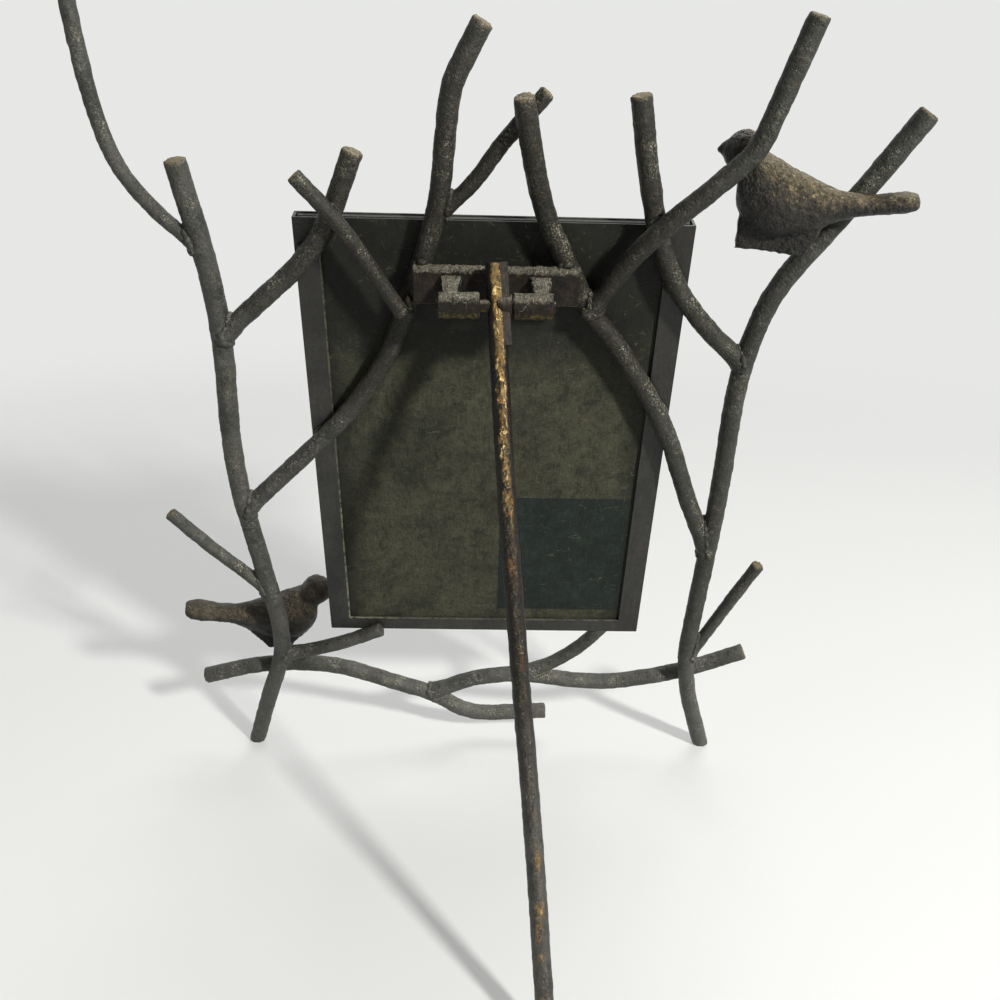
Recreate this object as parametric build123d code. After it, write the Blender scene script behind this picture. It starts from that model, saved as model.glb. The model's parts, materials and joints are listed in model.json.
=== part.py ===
from build123d import *
import math
import os

os.makedirs("parts", exist_ok=True)

# Photograph tree stand: a sheet-metal picture frame hung on a leaning tree of
# welded rods with two cast birds, held up from behind by a hinged easel leg.
# Every piece is drawn with the tree upright: X across, Z up the tree and Y
# towards the leg, with the trunk centrelines in the plane Y = 0. The tree is
# then leaned back, its feet are cut flat, and the part is moved so that its
# origin is the bottom centre of its bounding box.

# Photograph, glass and sheet-metal frame
photo_width = 127.0
photo_height = 178.0
photo_thickness = 0.3
glass_thickness = 2.0
panel_thickness = 0.8
sheet_thickness = 1.0
photo_side_room = 1.5
photo_top_room = 2.9
pane_side_room = 0.5
seat_gap = 0.3
layer_gap = 0.2
lip_gap = 0.3
pane_top_inset = 0.4
side_lip_width = 8.5
bottom_lip_width = 6.5
label_width = 51.5
label_height = 58.5
label_thickness = 0.15
label_side_margin = 0.8
label_bottom_margin = 5.2

# Rods of the tree
trunk_diameter = 7.0
limb_diameter = 6.6
bough_diameter = 6.4
base_diameter = 6.9
spur_diameter = 5.8
twig_diameter = 5.0
fine_diameter = 4.7
tree_half_width = 130.0
tree_height = 320.0
frame_lift = 68.0
lean_angle = 15.0
weld_seam = 0.05
weld_reach = 5.0
weld_swell = 0.9
tack_swell = 0.6
plate_tack_radius = 2.1
support_overlap = 2.5
cut_overrun = 20.0

# Hinge bracket behind the tree
plate_thickness = 3.5
plate_height = 12.7
plate_lift_share = 0.704
plate_end_overhang = 1.0
hinge_drop = 1.3
knuckle_diameter = 8.5
knuckle_standoff = 11.0
left_knuckle_length = 13.4
right_knuckle_length = 12.8
left_knuckle_gap = 2.4
stem_root_width = 6.2
stem_root_height = 7.0
stem_tip_width = 4.4
stem_tip_height = 4.0
stem_offset = 2.75
stem_root_rise = 1.2
pin_diameter = 4.0
pin_fit = 0.08
pin_end_overhang = 0.8
knuckle_play = 0.3
hub_diameter = 7.4
hub_thickness = 0.9

# Easel leg
leg_diameter = 6.1
leg_open_angle = 37.5
leg_stop_gap = 0.3
leg_side_run = 19.7
tab_thickness = 1.1
tab_width = 5.0
tab_drop = 13.0

# Cast birds
bird_length = 62.0
perch_width = 7.0
left_bird_turn_angle = 189.0
left_bird_pitch_angle = 11.0
right_bird_turn_angle = -13.0
right_bird_pitch_angle = 4.5

# Sizes that follow from those above
frame_width = photo_width + 2 * (photo_side_room + sheet_thickness)
frame_height = sheet_thickness + seat_gap + photo_height + photo_top_room
layer_stack = glass_thickness + photo_thickness + panel_thickness + 3 * layer_gap
frame_depth = 2 * sheet_thickness + layer_stack + lip_gap
trunk_radius = trunk_diameter / 2
limb_radius = limb_diameter / 2
bough_radius = bough_diameter / 2
base_radius = base_diameter / 2
spur_radius = spur_diameter / 2
twig_radius = twig_diameter / 2
leg_radius = leg_diameter / 2
pin_radius = pin_diameter / 2
knuckle_radius = knuckle_diameter / 2
frame_back = -(limb_radius + weld_seam)
frame_front = frame_back - frame_depth
frame_side = frame_width / 2
frame_top = frame_lift + frame_height
seat_height = frame_lift + sheet_thickness + seat_gap
base_layer = -(trunk_radius + base_radius + weld_seam)
twig_layer = limb_radius + twig_radius + weld_seam
limb_layer = limb_radius + bough_radius + weld_seam
lip_layer = frame_back + twig_radius + weld_seam
spur_layer = frame_back + spur_radius + weld_seam
channel_layer = frame_front + frame_depth / 2
plate_front = limb_radius + weld_seam
plate_back = plate_front + plate_thickness
plate_lift = plate_lift_share * tree_height
plate_middle = plate_lift + plate_height / 2
pin_layer = plate_back + knuckle_standoff
pin_height = plate_middle - hinge_drop

# Bend of each rod corner, as a share of its shorter run
bend_share = 0.45

# Routes of the rods: shares of the tree's half width and of its height
left_trunk_shares = [
    (0.812, -0.008),
    (0.747, 0.083),
    (0.672, 0.175),
    (0.668, 0.235),
    (0.700, 0.338),
    (0.734, 0.450),
    (0.735, 0.532),
    (0.716, 0.640),
    (0.724, 0.730),
    (0.767, 0.840),
]
right_trunk_shares = [
    (-0.800, -0.008),
    (-0.710, 0.106),
    (-0.678, 0.180),
    (-0.689, 0.450),
    (-0.678, 0.585),
    (-0.686, 0.644),
    (-0.724, 0.716),
    (-0.840, 0.789),
    (-0.915, 0.836),
    (-1.009, 0.902),
]
left_upper_branch_shares = [
    (0.726, 0.745),
    (0.845, 0.793),
    (0.910, 0.835),
    (0.936, 0.890),
    (0.944, 0.960),
    (0.941, 1.012),
]
left_mid_branch_shares = [
    (0.718, 0.651),
    (0.613, 0.691),
    (0.488, 0.737),
    (0.415, 0.779),
    (0.342, 0.853),
]
left_inner_rod_shares = [
    (0.724, 0.418),
    (0.417, 0.547),
    (0.290, 0.622),
    (0.236, 0.677),
    (0.185, 0.739),
    (0.137, 0.805),
    (0.123, 0.868),
    (0.110, 0.915),
    (0.066, 0.950),
    (0.037, 0.971),
]
right_inner_rod_shares = [
    (-0.685, 0.362),
    (-0.588, 0.450),
    (-0.518, 0.529),
    (-0.430, 0.594),
    (-0.327, 0.656),
    (-0.252, 0.690),
    (-0.186, 0.744),
    (-0.131, 0.786),
    (-0.096, 0.833),
    (-0.057, 0.912),
]
right_upright_rod_shares = [
    (-0.686, 0.630),
    (-0.577, 0.668),
    (-0.478, 0.715),
    (-0.417, 0.765),
    (-0.370, 0.832),
    (-0.330, 0.911),
]
diagonal_branch_shares = [
    (-0.252, 0.690),
    (-0.318, 0.740),
    (-0.392, 0.785),
    (-0.516, 0.831),
    (-0.610, 0.870),
    (-0.634, 0.906),
    (-0.688, 0.988),
]
left_outer_twig_shares = [
    (0.687, 0.288),
    (0.851, 0.360),
    (0.952, 0.411),
]
left_diagonal_twig_shares = [
    (0.479, 0.834),
    (0.377, 0.786),
    (0.298, 0.734),
    (0.231, 0.690),
]
centre_left_twig_shares = [
    (0.157, 0.784),
    (0.052, 0.824),
    (-0.008, 0.861),
    (-0.115, 0.911),
]
right_twig_shares = [
    (-0.684, 0.172),
    (-0.798, 0.287),
    (-0.855, 0.342),
]
bottom_branch_left_shares = [
    (0.961, 0.108),
    (0.740, 0.136),
    (0.500, 0.133),
    (0.300, 0.096),
    (0.180, 0.078),
    (0.045, 0.034),
    (-0.226, 0.042),
]
bottom_branch_right_shares = [
    (0.180, 0.078),
    (0.045, 0.108),
    (-0.120, 0.120),
    (-0.415, 0.099),
    (-0.685, 0.126),
    (-0.892, 0.167),
]
support_left_shares = [(0.670, 0.173), (0.508, 0.189)]
support_right_shares = [(-0.146, 0.120), (-0.254, 0.145), (-0.335, 0.177)]

# Layers of the rods that leave the trunk plane, as shares of the crossing layer
right_inner_layer_shares = [0, 0, 0, 0, 0, 0, 0, 0, 0.50, 1.0]
diagonal_layer_shares = [0, 0.62, 1.10, 1.12, 1.12, 1.14, 1.20]
support_left_layer_shares = [0, 0.5]
support_right_layer_shares = [1.0, 1.0, 0.95]

# Ends of the two supports under the frame, as shares of its half width
support_left_end_share = 0.67
support_right_end_share = 0.80

# Leg: side travel as a share of its run and place as a share of its length
leg_shares = [(0.194, 0.250), (0.420, 0.456), (0.707, 0.697), (1.0, 1.0)]

# Bird: station, centre height, half height and half width of each section from
# tail to breast, as shares of the bird's length
bird_body_shares = [
    (0.000, 0.026, 0.026, 0.056),
    (0.040, 0.022, 0.042, 0.084),
    (0.180, 0.008, 0.042, 0.090),
    (0.290, 0.000, 0.052, 0.080),
    (0.400, -0.006, 0.086, 0.088),
    (0.530, -0.002, 0.138, 0.122),
    (0.650, 0.014, 0.182, 0.146),
    (0.750, 0.044, 0.204, 0.146),
    (0.830, 0.080, 0.186, 0.126),
    (0.890, 0.100, 0.116, 0.084),
]
bird_head_shares = [
    (0.720, 0.150, 0.070, 0.078),
    (0.795, 0.226, 0.092, 0.092),
    (0.850, 0.256, 0.108, 0.100),
    (0.910, 0.258, 0.096, 0.086),
    (0.955, 0.262, 0.062, 0.056),
    (1.005, 0.272, 0.012, 0.012),
]

# Outline of the flat-footed perch under the bird, in the same shares
right_perch_shares = [(0.880, -0.222), (0.520, -0.258), (0.430, -0.075), (0.862, 0.020)]
left_perch_shares = [(0.730, -0.258), (0.590, -0.262), (0.400, -0.070), (0.860, -0.060)]

# Station of the bird's body that is set at a place on the tree
bird_anchor_share = 0.650
left_bird_place_shares = (0.687, 0.208)
right_bird_place_shares = (-0.707, 0.812)
left_bird_layer_share = -1.95
right_bird_layer_share = 0.15


# Helpers for routes, blocks and cuts


def places(shares, layers=0.0):
    """Route points from shares, on one layer or on a layer for each point."""
    levels = layers if isinstance(layers, list) else [layers] * len(shares)
    return [
        Vector(x * tree_half_width, level, z * tree_height)
        for (x, z), level in zip(shares, levels)
    ]


def bend_radii(points):
    """Radius at each inner point that takes bend_share of its shorter run."""
    radii = []
    for before, corner, after in zip(points, points[1:], points[2:]):
        first = corner - before
        second = after - corner
        turn = math.radians(first.get_angle(second))
        shorter = min(first.length, second.length)
        radii.append(bend_share * shorter / math.tan(turn / 2))
    return radii


def rod(points, diameter):
    """Round rod swept along straight runs joined by tangent arcs."""
    path = FilletPolyline(*points, radius=bend_radii(points))
    section = Plane(origin=path @ 0, z_dir=path % 0) * Circle(diameter / 2)
    return sweep(section, path=path)


def crossing(points, axis_name, value):
    """Point where a route passes a value of X or Z."""
    for start, end in zip(points, points[1:]):
        low = getattr(start, axis_name)
        high = getattr(end, axis_name)
        if (low - value) * (high - value) <= 0:
            return start + (end - start) * ((value - low) / (high - low))
    return min(points, key=lambda point: abs(getattr(point, axis_name) - value))


def block(low, high):
    """Box between two opposite corners."""
    sizes = [b - a for a, b in zip(low, high)]
    return Pos(*low) * Box(*sizes, align=(Align.MIN, Align.MIN, Align.MIN))


def largest(shape):
    """The largest solid that a cut leaves."""
    return max(shape.solids(), key=lambda solid: solid.volume)


def leaned(shape):
    """The upright drawing leaned back about the line of the feet."""
    return Rot(-lean_angle, 0, 0) * shape


def upright_ground():
    """The ground below the leaned tree, seen in the upright drawing."""
    reach = 2 * tree_height
    return Rot(lean_angle, 0, 0) * block((-reach, -reach, -reach), (reach, reach, 0))


# Routes in the upright drawing

ground = upright_ground()
right_inner_layers = [share * limb_layer for share in right_inner_layer_shares]
diagonal_layers = [share * limb_layer for share in diagonal_layer_shares]
support_left_layers = [share * spur_layer for share in support_left_layer_shares]
support_right_layers = [share * base_layer for share in support_right_layer_shares]
support_end_height = frame_lift + support_overlap

routes = {
    "left_trunk": places(left_trunk_shares),
    "right_trunk": places(right_trunk_shares),
    "left_upper_branch": places(left_upper_branch_shares),
    "left_mid_branch": places(left_mid_branch_shares),
    "left_inner_rod": places(left_inner_rod_shares),
    "right_inner_rod": places(right_inner_rod_shares, right_inner_layers),
    "right_upright_rod": places(right_upright_rod_shares),
    "diagonal_branch": places(diagonal_branch_shares, diagonal_layers),
    "left_outer_twig": places(left_outer_twig_shares),
    "left_diagonal_twig": places(left_diagonal_twig_shares, twig_layer),
    "centre_left_twig": places(centre_left_twig_shares, lip_layer),
    "right_twig": places(right_twig_shares),
    "bottom_branch_left": places(bottom_branch_left_shares, base_layer),
    "bottom_branch_right": places(bottom_branch_right_shares, base_layer),
    "support_twig_left": places(support_left_shares, support_left_layers)
    + [Vector(support_left_end_share * frame_side, spur_layer, support_end_height)],
    "support_twig_right": places(support_right_shares, support_right_layers)
    + [Vector(-support_right_end_share * frame_side, channel_layer, support_end_height)],
}
diameters = {
    "left_trunk": trunk_diameter,
    "right_trunk": trunk_diameter,
    "left_upper_branch": fine_diameter,
    "left_mid_branch": limb_diameter,
    "left_inner_rod": limb_diameter,
    "right_inner_rod": limb_diameter,
    "right_upright_rod": limb_diameter,
    "diagonal_branch": bough_diameter,
    "bottom_branch_left": base_diameter,
    "bottom_branch_right": base_diameter,
    "support_twig_left": spur_diameter,
    "support_twig_right": spur_diameter,
}
parents = {
    "left_upper_branch": "left_trunk",
    "left_mid_branch": "left_trunk",
    "left_inner_rod": "left_trunk",
    "right_inner_rod": "right_trunk",
    "right_upright_rod": "right_trunk",
    "diagonal_branch": "right_inner_rod",
    "left_outer_twig": "left_trunk",
    "centre_left_twig": "left_inner_rod",
    "right_twig": "right_trunk",
    "bottom_branch_right": "bottom_branch_left",
    "support_twig_left": "left_trunk",
    "support_twig_right": "bottom_branch_right",
}


# Sheet-metal frame


def channel_frame():
    """Folded channel on all sides in front, and on three sides behind."""
    low = (-frame_side, frame_front, frame_lift)
    high = (frame_side, frame_back, frame_top)
    hollow = block(
        (-frame_side + sheet_thickness, frame_front + sheet_thickness, frame_lift + sheet_thickness),
        (frame_side - sheet_thickness, frame_back - sheet_thickness, frame_top + cut_overrun),
    )
    sight_side = frame_side - side_lip_width
    sight_bottom = frame_lift + bottom_lip_width
    front_window = block(
        (-sight_side, frame_front - cut_overrun, sight_bottom),
        (sight_side, frame_front + sheet_thickness, frame_top - side_lip_width),
    )
    back_window = block(
        (-sight_side, frame_back - sheet_thickness, sight_bottom),
        (sight_side, frame_back + cut_overrun, frame_top + cut_overrun),
    )
    return block(low, high) - hollow - front_window - back_window


def mitre_wedge(edge_height, inner_height, front, back):
    """Trapezoid of one rail between its two mitre lines, from front to back."""
    outline = Polyline(
        (-frame_side, edge_height),
        (frame_side, edge_height),
        (frame_side - side_lip_width, inner_height),
        (-frame_side + side_lip_width, inner_height),
        close=True,
    )
    face = Plane.XZ * make_face(outline)
    return Pos(0, back, 0) * extrude(face, amount=back - front)


def frame_rails():
    """The four rails of the frame, parted along their mitre lines."""
    whole = channel_frame()
    bottom_wedge = mitre_wedge(
        frame_lift, frame_lift + bottom_lip_width, frame_front, frame_back
    )
    top_wedge = mitre_wedge(
        frame_top, frame_top - side_lip_width, frame_front, frame_front + sheet_thickness
    )
    sides = whole - bottom_wedge - top_wedge
    left_half = block((0, frame_front, frame_lift), (frame_side, frame_back, frame_top))
    return {
        "frame_bottom_rail": whole & bottom_wedge,
        "frame_top_rail": whole & top_wedge,
        "frame_left_rail": sides & left_half,
        "frame_right_rail": sides - left_half,
    }


def pane(width, height, front, thickness):
    """Flat pane that stands on the seat inside the channel."""
    return block(
        (-width / 2, front, seat_height),
        (width / 2, front + thickness, seat_height + height),
    )


def glazing():
    """Glass, photograph card, back panel and the bare place of its label."""
    pane_width = frame_width - 2 * (sheet_thickness + pane_side_room)
    pane_height = frame_top - pane_top_inset - seat_height
    glass_front = frame_front + sheet_thickness + layer_gap
    card_front = glass_front + glass_thickness + layer_gap
    panel_front = card_front + photo_thickness + layer_gap
    panel_back = panel_front + panel_thickness
    label_right = frame_side - side_lip_width - label_side_margin
    label_low = frame_lift + bottom_lip_width + label_bottom_margin
    return {
        "glass_pane": pane(pane_width, pane_height, glass_front, glass_thickness),
        "photo_card": pane(photo_width, photo_height, card_front, photo_thickness),
        "back_panel": pane(pane_width, pane_height, panel_front, panel_thickness),
        "label_place": block(
            (-label_right, panel_back, label_low),
            (label_width - label_right, panel_back + label_thickness, label_low + label_height),
        ),
    }


# Hinge bracket

left_inner_at_plate = crossing(routes["left_inner_rod"], "Z", plate_middle).X
right_inner_at_plate = crossing(routes["right_inner_rod"], "Z", plate_middle).X
plate_left = left_inner_at_plate + plate_end_overhang
plate_right = right_inner_at_plate - plate_end_overhang
hinge_middle = (plate_left + plate_right) / 2
left_knuckle_start = hinge_middle + leg_radius + left_knuckle_gap
right_knuckle_start = hinge_middle - leg_radius - tab_thickness - hub_thickness - knuckle_play


def across(start, length, radius):
    """Round bar across the tree on the hinge line, from one X towards another."""
    middle = Pos(start + length / 2, pin_layer, pin_height)
    return middle * Rot(0, 90, 0) * Cylinder(radius, abs(length))


def whole_line(radius):
    """Round cutter along the hinge line, as long as the tree is wide."""
    return across(-tree_half_width, 2 * tree_half_width, radius)


def knuckle(start, length):
    """Hinge tube with its running bore."""
    return across(start, length, knuckle_radius) - whole_line(pin_radius + pin_fit)


def stem(start, length):
    """Tapered foot that carries a hinge tube on the plate."""
    x = start + length / 2 + math.copysign(stem_offset, length)
    root_height = plate_middle + stem_root_rise
    root = Plane(origin=(x, plate_back, root_height), z_dir=(0, 1, 0)) * Rectangle(
        stem_root_width, stem_root_height
    )
    tip = Plane(origin=(x, pin_layer, pin_height), z_dir=(0, 1, 0)) * Rectangle(
        stem_tip_width, stem_tip_height
    )
    return loft([root, tip], ruled=True) - whole_line(knuckle_radius)


def hinge_bracket():
    """Cross plate, two hinge tubes and the feet that join them."""
    return {
        "hinge_plate": block(
            (plate_right, plate_front, plate_lift),
            (plate_left, plate_back, plate_lift + plate_height),
        ),
        "left_knuckle": knuckle(left_knuckle_start, left_knuckle_length),
        "right_knuckle": knuckle(right_knuckle_start, -right_knuckle_length),
        "left_knuckle_stem": stem(left_knuckle_start, left_knuckle_length),
        "right_knuckle_stem": stem(right_knuckle_start, -right_knuckle_length),
    }


# Easel leg

open_turn = math.radians(leg_open_angle)
leg_down = Vector(0, math.sin(open_turn), -math.cos(open_turn))
hinge_centre = Vector(hinge_middle, pin_layer, pin_height)


def leg_length():
    """Distance down the leg from the hinge line to the ground."""
    lean = math.radians(lean_angle)
    hinge_lift = pin_height * math.cos(lean) - pin_layer * math.sin(lean)
    return hinge_lift / math.cos(open_turn - lean)


def leg_route():
    """Leg centreline: from its top, which stops on the plate, past the ground."""
    length = leg_length()
    lower = [
        hinge_centre + Vector(-side * leg_side_run, 0, 0) + leg_down * (place * length)
        for side, place in leg_shares
    ]
    first = (lower[0] - hinge_centre).normalized()
    stop_room = knuckle_standoff - leg_radius * math.cos(open_turn) - leg_stop_gap
    top = hinge_centre - first * (stop_room / math.sin(open_turn))
    last = (lower[-1] - lower[-2]).normalized()
    return [top] + lower[:-1] + [lower[-1] + last * leg_diameter]


def leg_pieces():
    """Leg rod, its hinge pin, the side tab and the hub between tab and tube."""
    points = leg_route()
    first = (points[1] - points[0]).normalized()
    pin_low = right_knuckle_start - right_knuckle_length - pin_end_overhang
    pin_high = left_knuckle_start + left_knuckle_length + pin_end_overhang
    pin = across(pin_low, pin_high - pin_low, pin_radius)
    leg = rod(points, leg_diameter)
    frame_of_leg = Plane(origin=hinge_centre, x_dir=(1, 0, 0), z_dir=-first)
    top_drop = (points[0] - hinge_centre).length
    tab = frame_of_leg * block(
        (-leg_radius - tab_thickness, -tab_width / 2, -tab_drop),
        (-leg_radius / 2, tab_width / 2, top_drop),
    )
    hub_end = right_knuckle_start + knuckle_play
    hub = across(hub_end, hinge_middle - hub_end, hub_diameter / 2)
    tab = tab - leg - pin
    return {
        "leg_rod": leg - pin - ground,
        "leg_tab": tab,
        "leg_hub": largest(hub - leg - tab - pin),
        "hinge_pin": pin,
    }


# Birds


def sections(shares):
    """Oval sections of a bird across its length."""
    faces = []
    for station, height, half_height, half_width in shares:
        origin = (station * bird_length, 0, height * bird_length)
        plane = Plane(origin=origin, x_dir=(0, 1, 0), z_dir=(1, 0, 0))
        faces.append(plane * Ellipse(half_width * bird_length, half_height * bird_length))
    return faces


def bird(perch_shares):
    """Cast bird with tail, body, head, beak and a flat perch below."""
    outline = Polyline(
        *[(x * bird_length, z * bird_length) for x, z in perch_shares], close=True
    )
    perch = extrude(Plane.XZ * make_face(outline), amount=perch_width / 2, both=True)
    body = loft(sections(bird_body_shares)) + loft(sections(bird_head_shares)) + perch
    return Pos(-bird_anchor_share * bird_length, 0, 0) * body


def bird_at(perch_shares, place_shares, layer_share, turn, pitch):
    """Bird turned and set at its place beside a trunk."""
    x, z = place_shares
    place = Pos(x * tree_half_width, layer_share * bough_diameter, z * tree_height)
    return place * Rot(0, 0, turn) * Rot(0, pitch, 0) * bird(perch_shares)


# Building the tree


def weld_root(name):
    """Weld cone round the end of a rod where it grows out of the rod that carries it."""
    radius = diameters.get(name, twig_diameter) / 2
    reach = diameters.get(parents[name], twig_diameter) / 2 + weld_reach
    start, following = routes[name][:2]
    direction = (following - start).normalized()
    plane = Plane(origin=start + direction * (reach / 2), z_dir=direction)
    return plane * Cone(radius + weld_swell, radius, reach)


def built_rods():
    """Every rod with its weld root, cut where it meets its carrier and the ground."""
    plain = {
        name: rod(points, diameters.get(name, twig_diameter))
        for name, points in routes.items()
    }
    cut = {}
    for name, shape in plain.items():
        if name in parents:
            shape = shape + weld_root(name) - plain[parents[name]]
        cut[name] = largest(shape - ground)
    return cut


def near(bead, piece):
    """Whether the boxes round two shapes touch."""
    first = bead.bounding_box()
    second = piece.bounding_box()
    return all(
        low <= top and start <= high
        for low, top, start, high in zip(first.min, second.max, second.min, first.max)
    )


def tack(point, radius, pieces):
    """Weld tack round a point, its poles towards front and back, clear of the pieces."""
    bead = Pos(*point) * Rot(90, 0, 0) * Sphere(radius)
    for piece in pieces:
        if near(bead, piece):
            bead = bead - piece
    return largest(bead)


def meeting(first, second):
    """Point halfway between two routes where they come closest."""
    start, end = Polyline(*first).closest_points(Polyline(*second))
    return (start + end) / 2


def rod_tacks(pieces):
    """Tacks where one rod crosses over another or ends on it."""
    crossings = [
        ("left_diagonal_twig", "left_mid_branch"),
        ("left_diagonal_twig", "left_inner_rod"),
        ("diagonal_branch", "right_upright_rod"),
        ("centre_left_twig", "right_inner_rod"),
        ("bottom_branch_left", "left_trunk"),
        ("bottom_branch_right", "right_trunk"),
    ]
    radius = twig_radius + tack_swell
    return [tack(meeting(routes[over], routes[under]), radius, pieces) for over, under in crossings]


def frame_tacks(pieces):
    """Tacks that hold the frame's back lips to the rods behind them."""
    radius = limb_radius + tack_swell
    lip_middle = frame_side - side_lip_width / 2
    hidden = block(
        (-tree_height, -tree_height, -tree_height), (tree_height, frame_back, tree_height)
    )
    tacks = []
    for name, side in (
        ("left_inner_rod", 1),
        ("left_mid_branch", 1),
        ("right_inner_rod", -1),
        ("right_upright_rod", -1),
    ):
        point = crossing(routes[name], "X", side * lip_middle)
        tacks.append(tack(Vector(point.X, frame_back, point.Z), radius, pieces + [hidden]))
    return tacks


def plate_tacks(pieces):
    """Tacks that hold the hinge plate to the two inner rods."""
    plate_top = plate_lift + plate_height
    tacks = []
    for name, height in (
        ("left_inner_rod", plate_lift),
        ("left_inner_rod", plate_top),
        ("right_inner_rod", plate_top),
    ):
        point = crossing(routes[name], "Z", height)
        tacks.append(tack(Vector(point.X, plate_front, height), plate_tack_radius, pieces))
    return tacks


def all_nodes():
    """Every piece of the stand in the upright drawing, by name."""
    rods = built_rods()
    rails = frame_rails()
    hinge = hinge_bracket()
    for name in ("support_twig_left", "support_twig_right"):
        rods[name] = largest(rods[name] - rails["frame_bottom_rail"])
    left_bird = bird_at(
        left_perch_shares, left_bird_place_shares, left_bird_layer_share,
        left_bird_turn_angle, left_bird_pitch_angle,
    )
    for name in ("left_trunk", "bottom_branch_left", "support_twig_left"):
        left_bird = left_bird - rods[name]
    left_bird = left_bird - rails["frame_left_rail"]
    right_bird = bird_at(
        right_perch_shares, right_bird_place_shares, right_bird_layer_share,
        right_bird_turn_angle, right_bird_pitch_angle,
    )
    for name in ("right_trunk", "diagonal_branch"):
        right_bird = right_bird - rods[name]
    birds = {"left_bird": largest(left_bird), "right_bird": largest(right_bird)}
    pieces = list(rods.values()) + [hinge["hinge_plate"]]
    tacks = rod_tacks(pieces) + frame_tacks(pieces) + plate_tacks(pieces)
    welds = {"weld_tacks": Compound(tacks)}
    return {**rods, **rails, **glazing(), **hinge, **leg_pieces(), **birds, **welds}


def export_all():
    """Lean the tree, set the origin below the middle of its box and write it."""
    nodes = {name: leaned(shape) for name, shape in all_nodes().items()}
    box = Compound([solid for shape in nodes.values() for solid in shape.solids()]).bounding_box()
    shift = Pos(-(box.min.X + box.max.X) / 2, -(box.min.Y + box.max.Y) / 2, -box.min.Z)
    for name, shape in nodes.items():
        solids = (shift * shape).solids()
        whole = solids[0] if len(solids) == 1 else Compound(solids)
        export_step(whole, f"parts/{name}.step")


export_all()
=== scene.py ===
import json
import math
import random

import bmesh
import bpy
from mathutils import Matrix, Vector, noise
from mathutils.bvhtree import BVHTree


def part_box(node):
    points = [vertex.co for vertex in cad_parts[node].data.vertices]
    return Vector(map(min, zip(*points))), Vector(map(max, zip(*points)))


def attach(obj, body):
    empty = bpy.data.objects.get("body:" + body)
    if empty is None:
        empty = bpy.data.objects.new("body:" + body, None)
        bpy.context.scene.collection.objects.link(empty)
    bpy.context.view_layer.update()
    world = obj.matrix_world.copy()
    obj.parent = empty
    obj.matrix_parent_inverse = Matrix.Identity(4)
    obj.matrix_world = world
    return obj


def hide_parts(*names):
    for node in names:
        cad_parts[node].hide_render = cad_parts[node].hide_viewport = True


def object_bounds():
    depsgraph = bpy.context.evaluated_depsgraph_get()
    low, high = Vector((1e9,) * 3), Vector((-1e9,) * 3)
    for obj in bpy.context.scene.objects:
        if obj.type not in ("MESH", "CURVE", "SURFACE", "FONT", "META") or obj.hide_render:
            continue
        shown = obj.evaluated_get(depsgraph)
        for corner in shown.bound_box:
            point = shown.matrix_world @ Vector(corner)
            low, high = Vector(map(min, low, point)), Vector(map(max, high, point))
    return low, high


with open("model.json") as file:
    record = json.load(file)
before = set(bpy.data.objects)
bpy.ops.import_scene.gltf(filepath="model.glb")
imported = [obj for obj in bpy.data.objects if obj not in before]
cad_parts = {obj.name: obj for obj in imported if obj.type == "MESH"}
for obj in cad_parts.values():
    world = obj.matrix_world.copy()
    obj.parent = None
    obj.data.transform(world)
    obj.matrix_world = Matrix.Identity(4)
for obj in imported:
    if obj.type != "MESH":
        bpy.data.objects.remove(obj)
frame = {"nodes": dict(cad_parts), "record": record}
cad_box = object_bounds()

MM = 0.001
NODES = frame["nodes"]
LOW = Vector(cad_box[0])
HIGH = Vector(cad_box[1])

# ---------------------------------------------------------------- pieces

RODS = (
    "left_trunk", "right_trunk", "left_upper_branch", "left_mid_branch",
    "left_inner_rod", "right_inner_rod", "right_upright_rod", "diagonal_branch",
    "left_outer_twig", "left_diagonal_twig", "centre_left_twig", "right_twig",
    "bottom_branch_left", "bottom_branch_right",
    "support_twig_left", "support_twig_right",
)
RAILS = ("frame_bottom_rail", "frame_top_rail", "frame_left_rail", "frame_right_rail")
BRACKET = (
    "hinge_plate", "left_knuckle", "right_knuckle",
    "left_knuckle_stem", "right_knuckle_stem",
)
FRAME_LEAN = math.radians(15)
FRAME_UP = Vector((0, math.sin(FRAME_LEAN), math.cos(FRAME_LEAN)))

# ---------------------------------------------------------------- node helpers


def srgb(red, green, blue):
    """A colour written in 0 to 255, as linear RGBA."""
    linear = []
    for value in (red, green, blue):
        part = value / 255
        linear.append(part / 12.92 if part <= 0.04045 else ((part + 0.055) / 1.055) ** 2.4)
    return (*linear, 1.0)


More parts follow.
